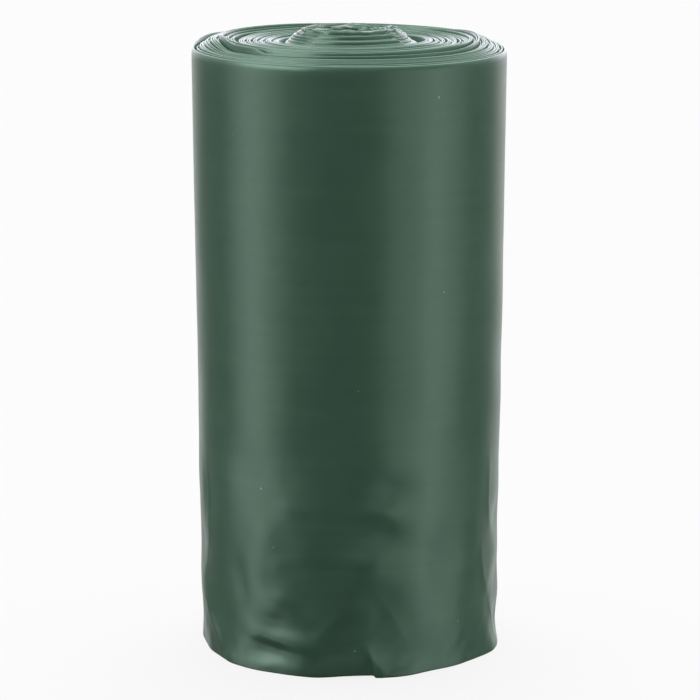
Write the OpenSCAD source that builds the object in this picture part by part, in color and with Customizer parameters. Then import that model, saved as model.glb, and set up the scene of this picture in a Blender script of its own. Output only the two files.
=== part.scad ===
// A coreless roll of thin plastic bags, standing on its end.
// The folded film is one continuous band, wound outwards from a flattened hole to a loose end on the
// back. The turns lie on each other, so they are one solid. At the upper end the folds of the turns
// show as a spiral of ridges: the core is pushed up, a loop of turns stands proud, and crescent gaps
// open where the turns have parted. Near the foot the outermost turn is loose and crumpled.
// Millimetres. The roll stands on z = 0 and its front is the -Y side.

/* [Film] */
// Folded width of the film, which is the height of the outermost turn
film_w = 61; // [50:1:80]
// Thickness of the folded film, the step where its outer end lies on the roll
film_t = 0.25; // [0.1:0.05:0.4]

/* [Roll] */
// Diameter over the outermost turn at the upper end
roll_d = 32; // [30:0.5:40]
// Diameter over the outermost turn at the foot
foot_d = 30.8; // [29:0.2:39]
// Ridges that the turns show between the hole and the outside
turns = 24; // [16:1:24]
// Flats round one turn
facets = 36; // [28:4:36]

/* [Hole] */
// Long way across the flattened hole
hole_l = 4.6; // [3:0.2:6]
// Short way across the flattened hole
hole_w = 1.6; // [1:0.2:2.6]

/* [Upper end] */
// Radius of the fold along the rim
rim_fold_r = 0.6; // [0.3:0.1:1]
// Depth of the groove between two turns
groove_depth = 0.5; // [0.2:0.1:0.8]
// Climb of the outer turns from the rim to the loop
rim_climb = 0.6; // [0.2:0.1:1]
// Diameter of the loop of turns that stands proud
loop_d = 25.4; // [20:0.2:27]
// Height of the loop above the turns outside it
loop_rise = 0.55; // [0.2:0.05:1]
// Diameter of the pushed-up core at its foot
core_foot_d = 13; // [11:0.2:16]
// Diameter of the pushed-up core at its top
core_top_d = 9.8; // [7:0.2:10.6]
// Height of the core above the turns round it
core_rise = 1.2; // [0.4:0.1:2.4]
// Depth of the crumpled dish in the top of the core
dish_depth = 0.6; // [0.2:0.1:1]
// Widest opening of the crescent gaps between parted turns
gap_w = 0.6; // [0.2:0.1:0.8]

/* [Foot] */
// Radius of the fold along the hem
hem_fold_r = 0.5; // [0.3:0.1:1]
// Radius of the hem where it is tucked under, at the left
tuck_r = 1.2; // [0.6:0.1:2]
// Depth of the grooves between the turns at the foot
foot_groove = 0.35; // [0.2:0.05:0.6]
// Depth of the deepest dent in the loose outermost turn
dent_depth = 0.7; // [0.2:0.1:1]

/* [Hidden] */

roll_r = roll_d / 2;
foot_r = foot_d / 2;
loop_r = loop_d / 2;
core_foot_r = core_foot_d / 2;
core_top_r = core_top_d / 2;
hole_mean_r = (hole_l + hole_w) / 4;

// Where the loose end of the film lies, at the back of the roll
tail_angle = 118;
// Way that the flattened hole points
hole_angle = 8;
// Direction in which the hem is tucked under
tuck_angle = 196;
tuck_spread = 42;

// Across one turn: where the ridge starts and ends between two grooves, as shares of the pitch.
// At the foot the ridges are pressed flat by the roll's own weight.
ridge_start = 0.24;
ridge_end = 0.86;
foot_start = 0.3;
foot_end = 0.8;
// Height of a ridge varies by this much from turn to turn
ridge_wander = 0.11;
// Crumpling of the turns in the core: up and down, and in and out
core_crumple_z = 0.32;
core_crumple_r = 0.2;
// Width over which the loop steps down to the turns outside it
loop_step_w = 0.5;
// The turns sink by this much between the loop and the core
shelf_fall = 0.2;

// Crescent gaps: distance from the axis, direction of the middle, half of the spread in degrees,
// and opening as a share of gap_w
gaps = [
    [7.7, 24, 44, 1.0],
    [7.1, 184, 40, 0.7],
    [11.3, 165, 30, 0.8],
    [11.0, 2, 24, 0.6],
    [15.2, 158, 34, 0.35],
];
// Turns on each side of a gap that give way to it
gap_reach = 3;
// A gap is this much deeper than wide
gap_depth_ratio = 1.6;

// Dents in the loose outermost turn: direction, height above the foot, half length round the roll,
// half height, lean in degrees, and depth as a share of dent_depth (below zero it bulges)
dents = [
    [246, 4.6, 5.0, 2.4, -14, 1.0],
    [243, 1.9, 4.6, 1.7, 8, -0.35],
    [228, 7.5, 3.2, 4.5, 20, 0.45],
    [282, 3.2, 2.6, 4.2, 24, 0.75],
    [296, 8.5, 3.4, 6.0, 26, 0.5],
    [289, 17.0, 4.5, 3.4, -10, 0.35],
    [338, 5.0, 3.0, 4.6, -8, 0.9],
    [342, 14.5, 3.2, 4.4, 6, 0.7],
    [205, 9.0, 3.0, 7.0, 12, 0.7],
    [200, 22.0, 2.8, 8.0, 6, 0.4],
    [40, 6.0, 5.0, 3.6, -18, 0.8],
    [78, 11.0, 3.6, 6.4, 22, 0.6],
    [135, 5.2, 5.4, 3.2, 14, 0.9],
    [160, 14.0, 3.0, 6.0, -12, 0.5],
];

// Rings of points down the outside: round the rim fold, down the wall, round the hem fold.
// Each fold turns by this much, so that it ends in the groove inside it.
fold_turn = 120;
fold_steps = 3;
wall_steps = 14;
// The wall's rings crowd towards the foot, where the dents are
crowding = 1.7;
wall_rings = 2 * fold_steps + wall_steps;

function mix(a, b, t) = a + (b - a) * t;
function smooth(low, high, x) =
    let (t = min(max((x - low) / (high - low), 0), 1))
    t * t * (3 - 2 * t);
function turned(a, from) = (a - from + 540) % 360 - 180;
function polar(r, a, z) = [r * cos(a), r * sin(a), z];

// Irregular wandering along the film, which differs from one turn to the next
function wander(u) = (sin(137.5 * u) + sin(222 * u + 40) + sin(83 * u + 200)) / 3;
// Small folds across the film, for the crumpled core
function crumple(u) = (sin(1430 * u) + sin(2210 * u + 70) + sin(3170 * u + 150)) / 3;

// One dent, 1 in its middle and 0 at its edge
function dent_shape(d, a, z) =
    let (
        across = turned(a, d[0]) * PI / 180 * foot_r,
        up = z - d[1],
        x = across * cos(d[4]) + up * sin(d[4]),
        y = up * cos(d[4]) - across * sin(d[4]),
        q = norm([x / d[2], y / d[3]])
    )
    q < 1 ? (1 + cos(180 * q)) / 2 : 0;
function dents_at(a, z, i = 0) =
    i == len(dents) ? 0 : dents[i][5] * dent_depth * dent_shape(dents[i], a, z) + dents_at(a, z, i + 1);

// Outside radius of the roll, before the folds round its two ends
function outside_r(a, z) = mix(foot_r, roll_r, z / film_w) - dents_at(a, z);
function hem_r(a) = mix(tuck_r, hem_fold_r, smooth(0, tuck_spread, abs(turned(a, tuck_angle))));

// How far a point gives way to the crescent gaps. v counts turns from the hole to the point.
function turns_at(r) = turns * (r - hole_mean_r) / (rim_edge_r(0) - film_t - hole_mean_r);
function gap_mask(g, a) = let (q = abs(turned(a, g[1])) / g[2]) q < 1 ? g[3] * (1 + cos(180 * q)) / 2 : 0;
function from_gap(g, v, a) =
    v - floor(turns_at(g[0])) - turned(g[1], tail_angle) / 360 - turned(a, g[1]) / 360;
function give(x) = abs(x) < 0.02 ? 0 : sign(x) * pow(max(0, 1 - abs(x) / gap_reach), 2);
function gaps_push(v, a, i = 0) =
    i == len(gaps) ? 0
        : gap_w / 2 * gap_mask(gaps[i], a) * give(from_gap(gaps[i], v, a)) + gaps_push(v, a, i + 1);
function gaps_depth(v, a, i = 0) =
    i == len(gaps) ? 0
        : (abs(from_gap(gaps[i], v, a)) < 0.02 ? gap_w * gap_depth_ratio * gap_mask(gaps[i], a) : 0)
            + gaps_depth(v, a, i + 1);

// Radius of the groove that lies u turns out from the hole. The wall_r ends the last turn, which
// thins from there to the loose end of the film.
function hole_r(a) =
    let (b = a - hole_angle)
    hole_l * hole_w / 2 / norm([hole_w * cos(b), hole_l * sin(b)]);
function groove_r(u, a, wall_r) =
    let (t = min(u / turns, 1), end_share = max(u - turns, 0))
    mix(hole_mean_r, wall_r - film_t, t) + (hole_r(a) - hole_mean_r) * pow(1 - t, 5) + film_t * end_share;
function ridge_r(u, a, wall_r, across) = mix(groove_r(u, a, wall_r), groove_r(u + 1, a, wall_r), across);

// Height of the folds above the rim, at radius r
function core_share(r) = 1 - smooth(core_top_r - 1, core_foot_r, r);
function end_rise(r) =
    rim_climb * (1 - smooth(loop_r, roll_r, r))
    + loop_rise * (1 - smooth(loop_r, loop_r + loop_step_w, r))
    - shelf_fall * (1 - smooth(core_foot_r, loop_r, r))
    + core_rise * (1 - smooth(core_top_r, core_foot_r, r))
    - dish_depth * (1 - smooth(hole_mean_r, core_top_r, r));

// Points of one station. u counts turns along the film and across is the share of the pitch.
function station_angle(u) = tail_angle + 360 * u;
function folded_in(round_r, angle) = round_r * (1 - cos(angle));
function rim_edge_r(a) = outside_r(a, film_w) - folded_in(rim_fold_r, fold_turn);
function foot_edge_r(a) = outside_r(a, 0) - folded_in(hem_r(a), fold_turn);
function upper_point(u, across) =
    let (
        a = station_angle(u),
        v = u + across,
        plain_r = ridge_r(u, a, rim_edge_r(a), across),
        soft = core_share(plain_r),
        r = plain_r + gaps_push(v, a) + soft * smooth(0, 2, v) * core_crumple_r * crumple(u),
        ridge = ridge_wander * wander(u) + soft * core_crumple_z * crumple(u + 0.37),
        down = across > 0 ? 0 : groove_depth + gaps_depth(v, a)
    )
    polar(r, a, film_w + end_rise(plain_r) + ridge * smooth(turns, turns - 2, v) - down);
function lower_point(u, across) =
    let (a = station_angle(u))
    polar(ridge_r(u, a, foot_edge_r(a), across), a, across > 0 ? 0 : foot_groove);

// Points on the outside. ring counts down from the rim and x is the share of the last turn.
function wall_point(ring, x) =
    let (
        a = station_angle(x),
        lower = ring > fold_steps + wall_steps,
        round_r = lower ? hem_r(a) : rim_fold_r,
        turned_in = lower ? fold_turn * (ring - fold_steps - wall_steps) / fold_steps
            : fold_turn * max(0, 1 - ring / fold_steps),
        down = pow(1 - min(max((ring - fold_steps) / wall_steps, 0), 1), crowding),
        z = lower ? hem_r(a) * (1 - sin(turned_in))
            : ring < fold_steps ? film_w - rim_fold_r * (1 - sin(turned_in))
            : mix(hem_r(a), film_w - rim_fold_r, down)
    )
    polar(outside_r(a, z) - folded_in(round_r, turned_in) - film_t * (1 - x), a, z);

// The whole surface as one closed skin. Points are numbered along the film.
module wound_film() {
    last = turns * facets;
    u_all = [for (i = [0:last]) i / facets];
    x_all = [for (j = [0:facets]) j / facets];

    upper_grooves = concat(
        [for (i = [0:last - 1]) upper_point(i / facets, 0)],
        [for (x = x_all) wall_point(0, x)]
    );
    ridge_starts = [for (u = u_all) upper_point(u, ridge_start)];
    ridge_ends = [for (u = u_all) upper_point(u, ridge_end)];
    wall = [for (ring = [1:wall_rings - 1], x = x_all) wall_point(ring, x)];
    lower_grooves = concat(
        [for (i = [0:last - 1]) lower_point(i / facets, 0)],
        [for (x = x_all) wall_point(wall_rings, x)]
    );
    foot_starts = [for (u = u_all) lower_point(u, foot_start)];
    foot_ends = [for (u = u_all) lower_point(u, foot_end)];

    g0 = 0;
    s0 = g0 + len(upper_grooves);
    e0 = s0 + len(ridge_starts);
    w0 = e0 + len(ridge_ends);
    b0 = w0 + len(wall);
    c0 = b0 + len(lower_grooves);
    d0 = c0 + len(foot_starts);

    function skin(ring, j) =
        ring == 0 ? g0 + last + j
            : ring == wall_rings ? b0 + last + j
            : w0 + (ring - 1) * (facets + 1) + j;
    function quad(p, q, r, s) = [[p, q, r], [p, r, s]];

    faces = [
        for (i = [0:last - 1]) each concat(
            quad(g0 + i, g0 + i + 1, s0 + i + 1, s0 + i),
            quad(s0 + i, s0 + i + 1, e0 + i + 1, e0 + i),
            quad(e0 + i, e0 + i + 1, g0 + i + facets + 1, g0 + i + facets),
            quad(b0 + i, c0 + i, c0 + i + 1, b0 + i + 1),
            quad(c0 + i, d0 + i, d0 + i + 1, c0 + i + 1),
            quad(d0 + i, b0 + i + facets, b0 + i + facets + 1, d0 + i + 1)
        ),
        for (ring = [0:wall_rings - 1], j = [0:facets - 1]) each
            quad(skin(ring, j), skin(ring, j + 1), skin(ring + 1, j + 1), skin(ring + 1, j)),
        for (ring = [0:wall_rings - 1]) each
            quad(skin(ring, facets), skin(ring, 0), skin(ring + 1, 0), skin(ring + 1, facets)),
        each quad(skin(0, facets), e0 + last, s0 + last, skin(0, 0)),
        each quad(skin(wall_rings, 0), c0 + last, d0 + last, skin(wall_rings, facets)),
        for (j = [0:facets - 1]) each quad(g0 + j, b0 + j, b0 + j + 1, g0 + j + 1),
        each quad(g0, s0, e0, g0 + facets),
        each quad(g0, g0 + facets, b0 + facets, b0),
        each quad(b0, b0 + facets, d0, c0),
    ];
    polyhedron(
        points = concat(
            upper_grooves, ridge_starts, ridge_ends, wall, lower_grooves, foot_starts, foot_ends
        ),
        faces = faces
    );
}

module bag_roll() {
    color([0.19, 0.31, 0.24]) wound_film();
}

bag_roll();
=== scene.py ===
import bmesh
import bpy
import numpy as np
from mathutils import Matrix


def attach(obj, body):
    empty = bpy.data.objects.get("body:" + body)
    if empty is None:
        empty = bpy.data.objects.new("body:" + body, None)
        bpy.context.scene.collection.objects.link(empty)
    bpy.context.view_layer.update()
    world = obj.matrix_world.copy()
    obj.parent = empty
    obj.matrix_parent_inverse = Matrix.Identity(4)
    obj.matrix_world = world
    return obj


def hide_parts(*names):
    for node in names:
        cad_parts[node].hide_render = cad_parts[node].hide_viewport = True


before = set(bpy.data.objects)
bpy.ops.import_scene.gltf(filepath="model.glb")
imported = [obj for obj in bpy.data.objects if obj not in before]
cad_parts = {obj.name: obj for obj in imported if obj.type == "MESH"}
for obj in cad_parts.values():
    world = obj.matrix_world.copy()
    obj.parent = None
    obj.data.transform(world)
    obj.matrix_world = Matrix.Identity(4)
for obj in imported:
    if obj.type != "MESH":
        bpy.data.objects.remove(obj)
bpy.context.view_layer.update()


# The wound turns: one continuous band of folded bags, wound without a core, so that a flattened
# hole is left in the middle. Each turn is the band seen on edge, with a round fold at either
# end, and the folds make a spiral of fine ridges.

# Sizes are in millimetres. Directions are in degrees from +X, anticlockwise as seen from above.
FILM_W = 61.0
RIM_R = 16.0
FOOT_R = 15.4
TAIL = 118.0
TURNS = 67
FIRST_R = 1.6
BAND_T = 0.184
PITCH = (RIM_R - BAND_T / 2 - FIRST_R) / TURNS

# The film is dark green low-density polyethylene, blown thin and folded flat. It is satin and a
# little slippery, with fine lines along its length from the blowing head, a faint mottle, and
# the lint that it picks up in handling. Its folded upper end is painted paler, as painted light for
# the light that the end catches from above and through the folds seen on edge, and it is painted
# darker again over the pushed-up core, as painted shade.
FILM_GREEN = (0.030, 0.079, 0.048, 1)
FILM_PALE = (0.040, 0.096, 0.060, 1)
FILM_EDGE_PAINTED_LIGHT = (0.071, 0.149, 0.104, 1)
FILM_ROUGH = 0.322
FILM_GLOSS_TINT = (0.74, 1.0, 0.86, 1)
PUCKER_DEPTH = 0.03
LINT = (0.55, 0.62, 0.58, 1)
# The lattice that carries the lint: cells to a metre, a speck's radius in cells, the share of
# cells without one, and how far the lattice is bent
LINT_CELLS, LINT_SIZE, LINT_LEFT_OUT, LINT_BEND = 300.0, 0.019, 0.25, 0.9


class Signal:
    """A value socket that turns Python arithmetic into Math nodes."""

    def __init__(self, graph, socket):
        self.graph, self.socket = graph, socket

    def _math(self, operation, *values):
        return self.graph.signal("ShaderNodeMath", {"operation": operation}, values)

    def __add__(self, other):
        return self._math("ADD", self, other)

    def __sub__(self, other):
        return self._math("SUBTRACT", self, other)

    def __mul__(self, other):
        return self._math("MULTIPLY", self, other)

    def __rsub__(self, other):
        return self._math("SUBTRACT", other, self)

    def __gt__(self, other):
        return self._math("GREATER_THAN", self, other)

    def __lt__(self, other):
        return self._math("LESS_THAN", self, other)

    __radd__ = __add__
    __rmul__ = __mul__


class Graph:
    """The nodes of one material or world, each made by one call."""

    def __init__(self, tree):
        self.tree = tree
        tree.nodes.clear()

    def node(self, kind, settings=None, inputs=()):
        made = self.tree.nodes.new(kind)
        for name, value in (settings or {}).items():
            setattr(made, name, value)
        pairs = inputs.items() if isinstance(inputs, dict) else enumerate(inputs)
        for name, value in pairs:
            value = value.socket if isinstance(value, Signal) else value
            if isinstance(value, bpy.types.NodeSocket):
                self.tree.links.new(value, made.inputs[name])
            else:
                made.inputs[name].default_value = value
        return made

    def add(self, kind, settings=None, inputs=(), out=0):
        return self.node(kind, settings, inputs).outputs[out]

    def signal(self, *args, **kwargs):
        return Signal(self, self.add(*args, **kwargs))

    def eased(self, value, low, high, start, end):
        """A soft ramp from start, where the value is low, to end, where it is high."""
        settings = {"interpolation_type": "SMOOTHSTEP"}
        return self.signal("ShaderNodeMapRange", settings, [value, low, high, start, end])

    def blended(self, share, first, second):
        """A share of the second colour mixed into the first."""
        return self.add("ShaderNodeMix", {"data_type": "RGBA"}, {0: share, 6: first, 7: second}, out=2)


def film_material(name):
    made = bpy.data.materials.new(name)
    made.use_nodes = True
    g = Graph(made.node_tree)
    place = g.add("ShaderNodeTexCoord", out=3)

    def noise(size, detail, squash=(1, 1, 1)):
        """Noise with lumps of size millimetres, flatter along an axis that is squashed."""
        scale = tuple(1000 * s / size for s in squash)
        scaled = g.add("ShaderNodeVectorMath", {"operation": "MULTIPLY"}, [place, scale])
        return g.signal("ShaderNodeTexNoise", {}, {"Vector": scaled, "Scale": 1.0, "Detail": detail})

    mottle = noise(size=5.0, detail=3.0)
    lines = noise(size=12.0, detail=2.0, squash=(1, 1, 12))
    grain = noise(size=0.7, detail=1.0)
    pucker = noise(size=2.0, detail=2.0, squash=(1, 1, 1.6))

    bend = g.add("ShaderNodeTexNoise", {}, {"Vector": place, "Scale": 900.0, "Detail": 1.0}, out=1)
    reach = (LINT_BEND / 1000,) * 3
    bent = g.add("ShaderNodeVectorMath", {"operation": "MULTIPLY_ADD"}, [bend, reach, place])
    cell = g.node("ShaderNodeTexVoronoi", {}, {"Vector": bent, "Scale": LINT_CELLS})
    chance = g.signal("ShaderNodeSeparateColor", {}, [cell.outputs["Color"]])
    lint = (Signal(g, cell.outputs["Distance"]) < LINT_SIZE) * (chance > LINT_LEFT_OUT)

    height = g.signal("ShaderNodeSeparateXYZ", {}, [place], out=2) * 1000
    # Painted light: the folded upper end is painted paler, for the light it catches from above and
    # through its folds seen on edge.
    ends = g.eased(height, FILM_W - 0.3, FILM_W + 0.4, 0.0, 1.0)
    # Painted shade: the end is painted darker again over the pushed-up core's crumpled folds.
    core = g.eased(height, FILM_W + 0.7, FILM_W + 1.8, 1.0, 0.66)
    shade = mottle + lines + (pucker - 0.5) * 0.3 - 0.5
    colour = g.blended(shade, FILM_GREEN, FILM_PALE)
    # Mix in the end's painted light, lessened where the core's painted shade falls.
    colour = g.blended(ends * core, colour, FILM_EDGE_PAINTED_LIGHT)
    colour = g.blended(lint * 0.75, colour, LINT)

    loose_foot = g.eased(height, 6.0, 34.0, 0.04, 0.0)
    rough = loose_foot + (mottle - 0.5) * 0.08 + (lines - 0.5) * 0.05 + (grain - 0.5) * 0.03 + FILM_ROUGH
    relief = pucker * 0.55 + lines * 0.12 + grain * 0.20
    depth = {"Strength": 0.55, "Distance": PUCKER_DEPTH / 1000, "Height": relief}
    film = g.add("ShaderNodeBsdfPrincipled", {}, {
        "Base Color": colour,
        "Roughness": rough,
        "Normal": g.add("ShaderNodeBump", {}, depth),
        "IOR": 1.51,
        "Specular IOR Level": 0.42,
        "Specular Tint": FILM_GLOSS_TINT,
    })
    g.node("ShaderNodeOutputMaterial", {}, {"Surface": film})
    return made


film = film_material("satin_green_film")


def smooth(low, high, x):
    """A soft step from 0 at low to 1 at high."""
    t = np.clip((x - low) / (high - low), 0, 1)
    return t * t * (3 - 2 * t)


def mix(a, b, t):
    return a + (b - a) * t


def apart(a, b):
    """The turn from direction b to direction a, the shorter way round."""
    return (a - b + 540) % 360 - 180


def hump(x):
    """A soft hill: 1 at 0, and 0 from 1 outwards."""
    return (1 + np.cos(np.pi * np.clip(x, -1, 1))) / 2


def span(a, start, end, soft_in, soft_out):
    """1 from direction start round to direction end, and 0 elsewhere."""
    x, length = (a - start) % 360, (end - start) % 360
    return np.where(x <= length, smooth(0, soft_in, x) * smooth(0, soft_out, length - x), 0.0)


def drift(seed, low, high, count=14):
    """Wandering along the film, with low to high waves to a turn."""
    rng = np.random.default_rng(seed)
    freq, phase = rng.uniform(low, high, count), rng.uniform(0, 2 * np.pi, count)
    even = (2 / count) ** 0.5
    return lambda u: sum(np.sin(2 * np.pi * f * u + p) for f, p in zip(freq, phase)) * even


def ripples(seed, short, long, count=26):
    """Wandering over a surface, with waves of short to long millimetres."""
    rng = np.random.default_rng(seed)
    k = 2 * np.pi / rng.uniform(short, long, count)
    way, phase = rng.uniform(0, np.pi, count), rng.uniform(0, 2 * np.pi, count)
    waves = list(zip(k, way, phase))
    even = (2 / count) ** 0.5
    return lambda x, y: sum(np.sin(n * (x * np.cos(w) + y * np.sin(w)) + p) for n, w, p in waves) * even


turn_rise = np.random.default_rng(3).normal(0, 1, TURNS + 3)
slow_rise = drift(11, 0.3, 1.9)
slow_creep = drift(13, 0.35, 1.45)
core_rise = ripples(21, 1.3, 3.6)
core_wrinkle = ripples(24, 0.8, 1.9)
core_x = ripples(22, 2.2, 5.0)
core_y = ripples(23, 2.2, 5.0)

# Crescent gaps where turns have parted: radius, direction of the middle, half spread, width
GAPS = [
    (7.30, 20, 48, 1.60),
    (6.75, 176, 38, 0.80),
    (11.35, 163, 27, 0.85),
    (11.20, 2, 24, 0.30),
    (8.15, 212, 50, 0.14),
    (15.80, 150, 52, 0.95),
    (13.02, 290, 70, 0.10),
    (12.40, 290, 62, 0.10),
    (14.95, 290, 80, 0.07),
    (6.22, 270, 80, 0.12),
    (5.75, 270, 80, 0.12),
    (5.30, 270, 80, 0.12),
    (4.55, 100, 60, 0.40),
    (3.40, 300, 70, 0.35),
]
# How many turns on either side of a gap give way to it
GAP_REACH = 7


def parted(u, a):
    """How far the film gives way to the gaps, outwards or inwards."""
    push = np.zeros_like(u)
    for radius, way, spread, width in GAPS:
        turn = round((radius - FIRST_R) / PITCH) + apart(way, TAIL) / 360 - 0.5
        x = u - turn - apart(a, way) / 360
        give = np.where(x >= 0, 1, -1) * np.clip(1 - np.abs(x) / GAP_REACH, 0, 1) ** 1.6
        push += width / 2 * hump(apart(a, way) / spread) * give
    return push


# Heights above the band's own width, from the rim inwards: the rim, the ledge inside it, the
# rise of the proud loop over the ledge, the turns inside the loop, and the shelf round the core
RIM_H, LEDGE_H, LOOP_RISE, SECOND_H, SHELF_H = 0.17, 1.45, 0.20, 1.14, 1.06
# How much higher the leaning end stands at its back
LEAN = 0.96
# The turns climb from the rim to the ledge between these two radii
CLIMB_FROM, CLIMB_TO = 15.9, 13.1
# The outermost turn of the proud loop, which is three turns thick, with three turns inside it
LOOP = 53
LOOP_TURNS, SECOND_TURNS = 3, 3
# The core ends at this radius, and its calm folds give way to uneven ones between the two others
CORE_R = 6.8
CORE_SOFT = (5.0, 8.0)
# Where round each turn its height passes to that of the next one
PASS_FROM, PASS_TO = 0.70, 0.99

# Turns that have crept up together stand in rows, each a little proud of the next
ROWS = [0.05, 0.02, -0.20, 0.02, 0.04, 0.05, -0.22, 0.03, 0.01, -0.17, 0.05, 0.02, -0.22]

# Height of each turn of the core above the rim, from the middle outwards, and the same where
# the turns have slid together into broader steps
CORE_FINE = [
    2.20, 2.22, 2.20, 2.24, 2.20, 2.24, 2.22, 2.26, 2.24, 2.28, 2.28, 2.30, 2.32, 2.38,
    2.36, 2.12, 2.06, 1.86, 1.82, 1.60, 1.38, 1.30, 1.12, 1.10, 1.10, 1.06, 1.08, 1.04,
]
CORE_BROAD = [
    2.20, 2.22, 2.20, 2.24, 2.20, 2.24, 2.22, 2.26, 2.24, 2.28, 2.30, 2.32, 2.36, 2.33,
    2.03, 2.05, 2.04, 2.00, 1.64, 1.66, 1.65, 1.62, 1.60, 1.27, 1.28, 1.26, 1.12, 1.08,
]
CORE_TURNS = len(CORE_FINE)
# Pockets between the crumpled folds of the core: x, y, half length, half width, lean, depth
POCKETS = [
    (-0.55, 0.9, 0.34, 1.5, 12, 0.60),
    (0.80, -0.15, 1.15, 0.42, -4, 0.50),
    (2.35, -0.10, 0.50, 0.40, 10, 0.50),
    (2.30, 2.50, 1.20, 0.40, 3, 0.42),
    (-2.10, 1.60, 0.80, 0.40, 18, 0.30),
    (-2.6, -0.9, 0.7, 0.3, -12, 0.25),
]


def rim_lift(a):
    """The end leans a little: its outer turns stand higher at the back than at the front."""
    return hump(apart(a, 106) / 152)


def turn_height(k, a, r):
    """Height of turn k above the rim: climb, proud loop, shelf, or step of the pushed-up core."""
    # The ledge is low at the front, and the climb to it dips at the back left
    lift = rim_lift(a)
    ledge = LEDGE_H - 0.75 * span(a, 188, 32, 24, 75)
    climb = mix(RIM_H + LEAN * lift, ledge, smooth(CLIMB_FROM, CLIMB_TO, r) ** 0.8)
    climb = climb - 0.46 * hump(apart(a, 148) / 62) * smooth(14.4, 15.4, r)
    # The loop is highest at the left and lowest at the back right
    loop = ledge + LOOP_RISE + 0.40 * span(a, 165, 231, 45, 7) + 0.15 * hump(apart(a, 0) / 40)
    loop = loop - 0.24 * hump(apart(a, 62) / 62)
    second = SECOND_H + 0.22 * (1 - hump(apart(a, 272) / 92)) + 0.10 * lift
    second = second - 0.14 * span(a, 226, 256, 8, 8)
    shelf = SHELF_H + 0.06 * smooth(11, 8, r) + 0.28 * lift * smooth(7, 12.5, r)
    # The core's steps are broad at the front
    part = np.clip(k, 0, CORE_TURNS - 1)
    core = mix(np.array(CORE_FINE)[part], np.array(CORE_BROAD)[part], span(a, 230, 330, 11, 11))

    inside = LOOP - k
    h = np.where(inside < 0, climb, loop - 0.05 * inside)
    h = np.where(inside >= LOOP_TURNS, second - 0.03 * (inside - LOOP_TURNS), h)
    h = np.where(inside >= LOOP_TURNS + SECOND_TURNS, shelf, h)
    h = np.where(k < CORE_TURNS, core, h)
    drawn = np.array(ROWS)[k % len(ROWS)] * smooth(CORE_R, 7.6, r)
    return h + drawn + 0.012 * turn_rise[k] * mix(0.35, 1, smooth(*CORE_SOFT, r))


def end_height(u, a, r):
    """Height of a fold above the rim. It passes from each turn's to the next's round the back."""
    k = np.clip(np.floor(u + 1e-6).astype(int), 0, TURNS)
    h = mix(turn_height(k, a, r), turn_height(k + 1, a, r), smooth(PASS_FROM, PASS_TO, u - k))
    inner, soft = k < CORE_TURNS, smooth(5.0, 4.0, r)
    x, y = r * np.cos(np.radians(a)), r * np.sin(np.radians(a))
    for px, py, across, along, lean, depth in POCKETS:
        c, s = np.cos(np.radians(lean)), np.sin(np.radians(lean))
        q = (((x - px) * c + (y - py) * s) / across) ** 2 + (((y - py) * c - (x - px) * s) / along) ** 2
        h = h - depth * np.exp(-q ** 1.5) * inner
    crumple = smooth(6.4, 4.8, r) * (0.3 + 0.7 * hump(apart(a, 10) / 95))
    h = h + 0.05 * soft * core_rise(x, y) + 0.04 * crumple * core_wrinkle(x, y)
    return h + 0.030 * slow_rise(u) * mix(0.35, 1, smooth(*CORE_SOFT, r))


# The flattened hole: half its length, half its width, and how far it is turned
HOLE_LONG, HOLE_SHORT, HOLE_TURN = 2.3, 0.8, 8
# Near the rim the turns give way to the outermost one's puffed fold: from this radius, over this far
SQUEEZE_R, SQUEEZE_OVER = 14.0, 1.7
# The wound turns taper towards the foot, and leave room there for the dents of the loose one
FOOT_SHARE = 14.55 / 15.7
# The band gives way to the gaps only from this share of its width upwards
NECK = 0.955


def rim_fold_w(a):
    """How thick the outermost turn's puffed upper fold is."""
    return 0.38 + 0.14 * hump(apart(a, 275) / 110)


def turn_place(u, a, share):
    """Radius of the middle of the band: share is 1 at its upper edge and 0 at its lower one."""
    b = np.radians(a - HOLE_TURN)
    hole = HOLE_LONG * HOLE_SHORT / np.hypot(HOLE_SHORT * np.cos(b), HOLE_LONG * np.sin(b))
    r = FIRST_R + PITCH * u
    inner = (hole - FIRST_R) * np.clip(1 - u / TURNS, 0, 1) ** 6
    squeeze = (rim_fold_w(a) - BAND_T) * np.clip((r - SQUEEZE_R) / SQUEEZE_OVER, 0, 1)
    creep = 0.017 * slow_creep(u)
    taper = mix(r * FOOT_SHARE, r, share ** 0.7)
    return inner + taper + (parted(u, a) + creep - squeeze) * smooth(NECK, 1, share)


def film_piece(name, points):
    """A closed mesh from the band's sections, points[station, place round the section]."""
    stations, ring = points.shape[:2]
    at = np.arange(stations * ring).reshape(stations, ring)
    beside = np.roll(at, -1, axis=1)
    quads = np.stack([at[:-1], at[1:], beside[1:], beside[:-1]], axis=-1).reshape(-1, 4)
    caps = [at[0].tolist(), at[-1][::-1].tolist()]
    mesh = bpy.data.meshes.new(name)
    mesh.from_pydata((points.reshape(-1, 3) * 0.001).tolist(), [], quads.tolist() + caps)
    work = bmesh.new()
    work.from_mesh(mesh)
    bmesh.ops.recalc_face_normals(work, faces=work.faces)
    for face in work.faces:
        face.smooth = len(face.verts) == 4
    work.to_mesh(mesh)
    work.free()
    mesh.materials.append(film)
    piece = bpy.data.objects.new(name, mesh)
    bpy.context.scene.collection.objects.link(piece)
    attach(piece, "root")
    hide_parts("bag_roll")


# How far a fold's two sides fall from its crown
FOLD_ROUND = 0.075
# The points across a fold, from its outer side to its inner one, in half thicknesses
FOLD_ACROSS = (1.0, 0.86, 0.66, 0.40, 0.0, -0.40, -0.66, -0.86, -1.0)
# The lower folds: their height above the ground, the most of it, and their height to their width
LOW_Z, LOW_Z_MOST, LOW_TALL = 0.10, 0.5, 1.3


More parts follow.
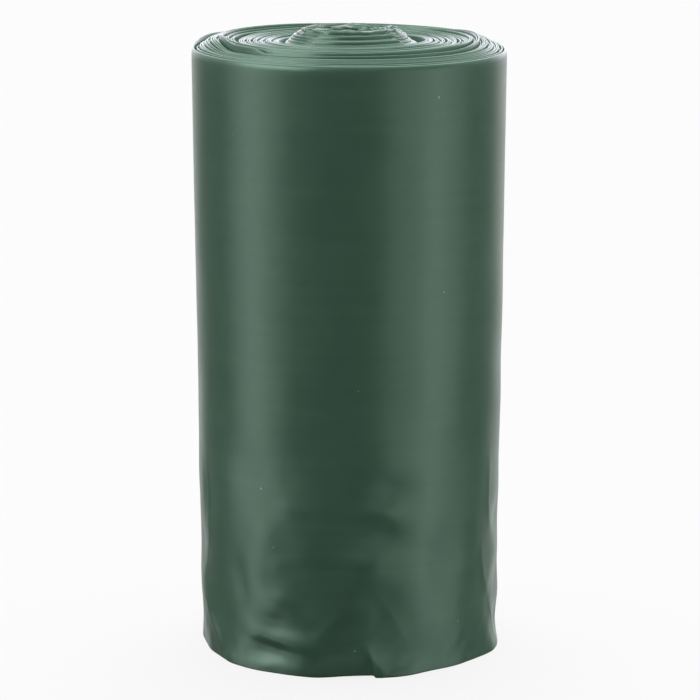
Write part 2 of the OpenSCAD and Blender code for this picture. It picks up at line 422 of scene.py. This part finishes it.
def wound(name, first, last, per_turn):
    """The band from turn first to turn last, with per_turn sections to a turn."""
    u = np.arange(round(first * per_turn), round(last * per_turn) + 1) / per_turn
    a = TAIL + 360 * u
    r = FIRST_R + PITCH * u
    half = BAND_T / 2
    top_r, neck_r, low_r = turn_place(u, a, 1.0), turn_place(u, a, 0.95), turn_place(u, a, 0.0)
    top_z = FILM_W + end_height(u, a, r)
    uneven = 0.07 * turn_rise[np.clip(u.astype(int) + 1, 0, TURNS)] + 0.04 * slow_rise(u + 9)
    low_z = np.clip(LOW_Z + uneven, 0.0, LOW_Z_MOST)

    # The upper fold. Its sides fall to where the turns beside it stand, as far as they show
    sides = hump(apart(a, 0) / 50) + hump(apart(a, 180) / 50)
    reach = mix(mix(0.34, 0.10, sides), 0.10, smooth(CORE_R, 8.5, r))
    fall_out, fall_in = (
        FOLD_ROUND + np.clip(top_z - FILM_W - end_height(u + step, a, r + step * PITCH), 0, reach)
        for step in (1, -1))
    section = []
    for across in FOLD_ACROSS:
        fall = fall_out if across > 0 else fall_in
        section.append((top_r + half * across, top_z - fall * abs(across) ** 2.2))

    # Down the inner side, round the lower fold, and up the outer side
    low_mid = low_z + half * LOW_TALL
    neck_z = np.full_like(u, FILM_W * NECK)
    section += [(neck_r - half, neck_z), (low_r - half, low_mid)]
    for turn in (225, 270, 315):
        c, s = np.cos(np.radians(turn)), np.sin(np.radians(turn))
        section.append((low_r + half * c, low_mid + half * LOW_TALL * s))
    section += [(low_r + half, low_mid), (neck_r + half, neck_z)]

    points = np.empty((len(u), len(section), 3))
    for i, (radius, z) in enumerate(section):
        x, y = radius * np.cos(np.radians(a)), radius * np.sin(np.radians(a))
        sway = 0.34 * smooth(5.6, 3.6, r) * smooth(FILM_W * 0.9, FILM_W, z)
        points[:, i, 0] = x + sway * core_x(x, y)
        points[:, i, 1] = y + sway * core_y(x, y)
        points[:, i, 2] = np.maximum(z, 0)
    film_piece(name, points)


wound("wound_turns", CORE_TURNS, TURNS - 1, 128)


# The pushed-up core: the first turns of the same band. They were wound round a rod that was
# drawn out afterwards, so they stand proud at this end, their folds are crumpled, and the hole
# in the middle has fallen flat.
wound("core_turns", 0, CORE_TURNS, 168)


# The outermost turn: the last length of the band, round the others and loose near the foot.
# Its upper fold puffs out into the rim, its lower part is dented and creased, and its hem is
# tucked under at the left. It ends at the back, where the last bag was torn off.
WALL_COLUMNS = 480
# Radius at which lengths along the wall are reckoned
WALL_R = 15.5
# The puffed fold rounds over from the first height, at the radius that the wall has at the second
FOLD_LOW, FOLD_EDGE = 60.5, 60.2
# Half the thickness of the hem's fold, and its height to its width
HEM_HALF, HEM_TALL = 0.10, 1.2
broad = ripples(31, 14, 34)
loose = ripples(32, 5.5, 13)
small = ripples(33, 1.6, 4.5)

# Dents (-) and bulges (+) in the loose lower half of the wall: direction, height, half length,
# half height, depth, lean in degrees
SWELLS = [
    (285.5, 19.4, 2.3, 1.3, -0.34, 0),
    (282.0, 16.9, 1.9, 0.9, 0.20, 0),
    (284.0, 16.0, 3.8, 7.5, 0.27, 0),
    (284.0, 14.6, 1.9, 1.1, -0.28, 0),
    (277.0, 11.6, 2.4, 1.9, 0.36, 0),
    (281.5, 7.9, 1.9, 1.6, -0.16, 0),
    (300, 15, 3, 2.4, 0.14, -30),
    (304, 8, 2.6, 3, -0.14, 15),
    (318, 22, 3.0, 3.0, -0.10, 0),
    (231, 11, 2.3, 2, 0.19, 0),
    (247, 16.8, 1.8, 1.5, 0.16, 0),
    (243.5, 11.3, 1.7, 0.9, 0.12, 0),
    (238, 14, 1.8, 1.7, 0.12, 25),
    (232, 20, 2.4, 1.8, -0.13, 0),
    (243, 7.6, 2.0, 1.3, 0.20, 0),
    (254, 8.2, 1.9, 1.8, -0.16, -20),
    (264, 5.6, 0.8, 2.4, 0.12, -42),
    (226, 8, 1.2, 2.6, -0.12, 10),
    (243, 3.4, 3.2, 0.8, 0.17, -9),
    (243, 5.2, 3.0, 0.8, -0.16, -7),
    (238.5, 2.5, 2.8, 0.75, -0.17, -8),
    (239, 0.3, 3.7, 1.25, 0.62, 0),
    (219.5, 0.6, 1.1, 0.9, 0.16, -35),
    (266, 2.4, 2.6, 1.6, -0.06, 0),
    (273.5, 1.3, 1.7, 1.6, 0.20, 0),
    (287.5, 1.8, 2.3, 1.6, -0.24, 0),
    (297, 0.2, 3.0, 1.4, 0.16, 0),
    (342, 0.2, 2.6, 1.3, 0.28, 0),
    (349, 13.8, 2, 2, -0.20, 0),
    (351, 7.3, 2.4, 1.8, -0.26, 0),
    (352, 2.8, 2, 1.7, -0.18, 0),
    (197, 17, 1.3, 2.6, 0.10, 8),
    (192, 11.5, 1.6, 2.2, -0.12, 0),
    (198, 7, 1.5, 2.2, 0.12, 16),
]
# Creases: the path as (direction, height) points, half width, depth, how far it is one-sided
CREASES = [
    ([(276.5, 10.0), (281.5, 7.9), (286.8, 6.1), (290.0, 4.3), (293.5, 2.2)], 1.2, 0.16, 0.2),
    ([(274.5, 3.8), (279.0, 1.8), (284.0, 0.2)], 0.8, 0.30, 0.2),
    ([(229.0, 4.6), (235.0, 4.0), (242.0, 3.5), (249.0, 3.0), (256.0, 2.6)], 0.6, 0.10, 0.1),
    ([(228.5, 2.2), (228.0, 1.0), (226.5, 0.0)], 0.35, -0.10, 0.0),
    ([(200.0, 5.4), (204.0, 4.2), (208.5, 2.9), (212.0, 1.6), (212.6, 0.3)], 0.55, 0.27, -0.35),
    ([(201.0, 21.5), (203.0, 17.0), (203.0, 12.0), (198.0, 7.6)], 0.40, 0.07, -0.3),
    ([(337.0, 21.0), (335.5, 16.0), (338.0, 13.6), (342.0, 12.2)], 0.7, 0.13, 0.4),
    ([(331.0, 12.0), (330.5, 10.0), (333.0, 8.0), (338.5, 5.8)], 0.8, 0.15, 0.4),
    ([(338.0, 5.4), (342.0, 3.0), (347.0, 0.6)], 0.6, 0.14, 0.4),
    ([(238.0, 11.5), (250.0, 11.0), (275.0, 11.2), (300.0, 11.0), (318.0, 11.3)], 0.24, -0.05, 0.0),
    ([(244.0, 20.0), (247.0, 20.3), (251.0, 20.2)], 0.25, -0.045, 0.0),
    ([(277.5, 3.2), (279.4, 1.2), (280.2, -0.4)], 0.30, 0.08, -0.75),
]


def swell(a, z, way, height, across, up, amount, lean):
    """A soft dent or bulge, leaning by some degrees."""
    along, above = WALL_R * np.radians(apart(a, way)), z - height
    c, s = np.cos(np.radians(lean)), np.sin(np.radians(lean))
    q = ((along * c + above * s) / across) ** 2 + ((above * c - along * s) / up) ** 2
    return amount * np.exp(-q)


def crease(a, z, path, width, amount, one_side):
    """A sharp crease along a path. It fades at its ends."""
    start = path[0][0]
    s = WALL_R * np.radians(apart(a, start))
    points = [(WALL_R * np.radians(apart(way, start)), height) for way, height in path]
    parts = list(zip(points, points[1:]))
    total = sum(np.hypot(q[0] - p[0], q[1] - p[1]) for p, q in parts)
    best, along, side = np.full(s.shape, 1e9), np.zeros(s.shape), np.ones(s.shape)
    gone = 0.0
    for p, q in parts:
        ds, dz = q[0] - p[0], q[1] - p[1]
        length = np.hypot(ds, dz)
        t = np.clip(((s - p[0]) * ds + (z - p[1]) * dz) / length ** 2, 0, 1)
        off_s, off_z = s - p[0] - t * ds, z - p[1] - t * dz
        off = np.hypot(off_s, off_z)
        near = off < best
        best = np.where(near, off, best)
        along = np.where(near, (gone + t * length) / total, along)
        side = np.where(near, np.sign(ds * off_z - dz * off_s), side)
        gone += length
    wide = width * np.where(side > 0, 1 + one_side, 1 - one_side)
    blunt = 0.28 * width
    ease = np.sin(np.pi * np.clip(along, 0.02, 0.98)) ** 0.6
    return amount * ease * np.exp(-np.sqrt(best ** 2 + blunt ** 2) / wide)


def wall_shift(a, z):
    """How far the loose wall stands out from, or falls back behind, the plain taper."""
    s = WALL_R * np.radians(a)
    shift = 0.035 * broad(s, z * 0.6) * smooth(FILM_W, FILM_W - 8, z)
    shift += 0.13 * np.exp(-z / 16.0) * loose(s, z) + 0.012 * np.exp(-z / 9.0) * small(s, z)
    shift += sum(swell(a, z, *shape) for shape in SWELLS)
    shift += sum(crease(a, z, *shape) for shape in CREASES)
    flare = 0.16 * np.exp(-z / 1.8) + 0.10 * hump(apart(a, 215) / 30) * np.exp(-z / 2.2)
    tuck = 0.14 * hump(apart(a, 192) / 30) * np.clip(1 - z / 2.6, 0, 1) ** 1.8
    return shift + flare - tuck


def wall_radius(z):
    """Outer radius of the wall at height z, at each section along the turn."""
    z = z + 0 * u
    return mix(FOOT_R, RIM_R, z / FILM_W) - PITCH * (TURNS - u) + wall_shift(a, z)


def arc(*turns):
    """The cosine and sine of each direction round a fold."""
    return [(np.cos(np.radians(turn)), np.sin(np.radians(turn))) for turn in turns]


u = mix(TURNS - 1, TURNS, np.arange(WALL_COLUMNS + 1) / WALL_COLUMNS)
a = TAIL + 360 * u

# The rim follows the wound turns' lean, dips where they dip, and waves a little
fold_w = rim_fold_w(a)
rim_top = 0.14 + 0.08 * hump(apart(a, 270) / 120) + 0.88 * rim_lift(a)
rim_top += 0.34 * hump(apart(a, 155) / 26) - 0.16 * hump(apart(a, 42) / 34) + 0.02 * slow_rise(u * 3)

# The hem lifts off the ground towards the front, and waves a little elsewhere
hem_wave = np.maximum(1 + slow_rise(u * 4 + 2), 0) * (1 - hump(apart(a, 285) / 20))
hem_z = 0.28 * span(a, 255, 280.2, 18, 1.2) + 0.015 * hem_wave


def lifted(z):
    """Height z on the wall, raised with the hem near the foot."""
    return z + hem_z * max(0, 1 - z / 3)


# Up the outside, finest where it is crumpled
wall_z = [np.arange(0.16, 20, 0.24), np.arange(20, 40, 0.7), np.arange(40, 59.6, 1.3), [59.8, 60.1]]
section = [(wall_radius(z), lifted(z)) for z in np.concatenate(wall_z)]

# Over the puffed upper fold, and in under it
edge = wall_radius(FOLD_EDGE)
for c, s in arc(10, 25, 40, 55, 70, 90, 110, 130, 150, 175):
    section.append((edge - fold_w / 2 * (1 - c), FOLD_LOW + (FILM_W - FOLD_LOW + rim_top) * s))
for share, z in ((1.0, 60.0), (0.6, 59.5), (0.0, 58.6)):
    section.append((edge - mix(BAND_T, fold_w, share), z + 0 * u))

# Down the inside, and round the hem
for z in np.concatenate([np.arange(54, 24, -6.0), np.arange(24, 1.4, -1.2)]):
    section.append((wall_radius(z) - BAND_T, lifted(z)))
hem_r = wall_radius(0.25)
section.append((hem_r - BAND_T * 1.3, 1.0 + hem_z))
for c, s in arc(180, 215, 250, 280, 310, 340):
    section.append((hem_r - HEM_HALF * (1 - c), HEM_HALF * HEM_TALL * (1 + s) + hem_z))

c, s = np.cos(np.radians(a)), np.sin(np.radians(a))
film_piece("outermost_turn", np.stack([np.stack([r * c, r * s, z], axis=-1) for r, z in section], axis=1))


# The floor: a pale matt sheet that runs on behind the roll. It only carries the soft shadow.
FLOOR_GREY = (0.30, 0.30, 0.30, 1)
FLOOR_GLOW = 0.86


def floor_sheet(name):
    """Matt grey, with a share of plain white for the camera."""
    made = bpy.data.materials.new(name)
    made.use_nodes = True
    g = Graph(made.node_tree)
    seen = Signal(g, g.node("ShaderNodeLightPath").outputs["Is Camera Ray"])
    paint = g.add("ShaderNodeBsdfDiffuse", {}, {"Color": FLOOR_GREY})
    white = g.add("ShaderNodeEmission", {}, {"Color": (1, 1, 1, 1), "Strength": 1.0})
    sheet = g.add("ShaderNodeMixShader", {}, [seen * FLOOR_GLOW, paint, white])
    g.node("ShaderNodeOutputMaterial", {}, {"Surface": sheet})
    return made


bpy.ops.mesh.primitive_plane_add(size=4)
floor = bpy.context.object
floor.name = "floor"
floor.data.materials.append(floor_sheet("floor_white"))
floor.visible_glossy = False


# The light: a soft box left and one right of the camera, each with a dimmer one beside it for a
# soft edge, a high one on the left, and a pale ceiling. The room is white behind the roll and
# dark behind the camera.
MID_HEIGHT = 0.03
CAMERA_WAY = 270


def soft_box(name, round_by, up, distance, wide, tall, glow):
    """A lamp that faces the roll, turned round from the camera's side. Its glow is its radiance."""
    lamp = bpy.data.lights.new(name, "AREA")
    lamp.shape, lamp.size, lamp.size_y = "RECTANGLE", wide, tall
    lamp.energy = glow * 4 * wide * tall
    box = bpy.data.objects.new(name, lamp)
    turn, rise = np.radians(CAMERA_WAY + round_by), np.radians(up)
    away = np.array([np.cos(turn) * np.cos(rise), np.sin(turn) * np.cos(rise), np.sin(rise)])
    side = np.array([-np.sin(turn), np.cos(turn), 0.0])
    where = away * distance + [0, 0, MID_HEIGHT]
    facing = np.column_stack([side, np.cross(away, side), away, where])
    box.matrix_world = Matrix(np.vstack([facing, [0, 0, 0, 1]]).tolist())
    bpy.context.scene.collection.objects.link(box)
    return box


soft_box("soft_box_left", -73, up=-12, distance=0.6, wide=0.20, tall=0.52, glow=1.2)
soft_box("soft_box_left_edge", -72, up=-12, distance=0.62, wide=0.53, tall=0.52, glow=1.2)
soft_box("soft_box_right", 74, up=-12, distance=0.6, wide=0.36, tall=0.52, glow=1.15)
soft_box("soft_box_right_edge", 50, up=-12, distance=0.62, wide=0.52, tall=0.52, glow=1.18)
high_box = soft_box("soft_box_left_high", -60, up=27, distance=0.65, wide=0.62, tall=0.34, glow=6.5)
high_box.visible_diffuse = False

ROOM_BACK = (0.11, 0.994, 0)
CEILING = (0, 0.3, 0.954)
SHINE_TINT = (1.09, 0.97, 1.13, 1)
WHITE = (1, 1, 1, 1)

world = bpy.data.worlds.new("studio")
bpy.context.scene.world = world
world.use_nodes = True
g = Graph(world.node_tree)
look = g.add("ShaderNodeTexCoord", out=0)


def towards(way):
    """1 straight along a way, 0 square to it and -1 straight against it."""
    return g.signal("ShaderNodeVectorMath", {"operation": "DOT_PRODUCT"}, [look, way], out=1)


# What lights the film: a room that is white at its back, and the ceiling
back, level = towards(ROOM_BACK), towards((0, 0, 1))
ceiling = g.eased(towards(CEILING), 0.75, 0.93, 0.0, 7.9)
room = g.eased(back, -0.24, 0.45, 0.02, 1.15) + ceiling

# What the film mirrors: the white behind it, brighter above the floor's edge
rise = g.eased(level, -0.12, 0.03, 0.0, 1.0)
haze = g.eased(level, 0.17, 0.36, 1.0, 0.9)
mirrored = g.eased(back, 0.65, 0.94, 0.26, 1.1) * (1.8 * rise + 1) * haze

ray = g.node("ShaderNodeLightPath")
seen, glossy = Signal(g, ray.outputs["Is Camera Ray"]), Signal(g, ray.outputs["Is Glossy Ray"])
strength = seen + (1 - seen) * (glossy * mirrored + (1 - glossy) * room)
tint = g.blended(glossy * rise, WHITE, SHINE_TINT)
studio = g.add("ShaderNodeBackground", {}, {"Color": tint, "Strength": strength})
g.node("ShaderNodeOutputWorld", {}, {"Surface": studio})


# The camera: a long lens a little above the roll, as in the photograph.
CAMERA_BACK, CAMERA_UP, CAMERA_DOWN, CAMERA_PX = 0.3148, 0.0948, 11.60, 3131
PICTURE_PX, SHIFT_PX, SENSOR = 700, 1.3, 36.0
lens = bpy.data.cameras.new("camera")
lens.sensor_width, lens.lens = SENSOR, CAMERA_PX / PICTURE_PX * SENSOR
lens.clip_start, lens.clip_end = 0.01, 20
lens.shift_x, lens.shift_y = SHIFT_PX / PICTURE_PX, SHIFT_PX / PICTURE_PX
camera = bpy.data.objects.new("camera", lens)
camera.location = (0, -CAMERA_BACK, CAMERA_UP)
camera.rotation_euler = (np.radians(90 - CAMERA_DOWN), 0, 0)
bpy.context.scene.collection.objects.link(camera)
bpy.context.scene.camera = camera
bpy.context.scene.view_settings.view_transform = "Standard"
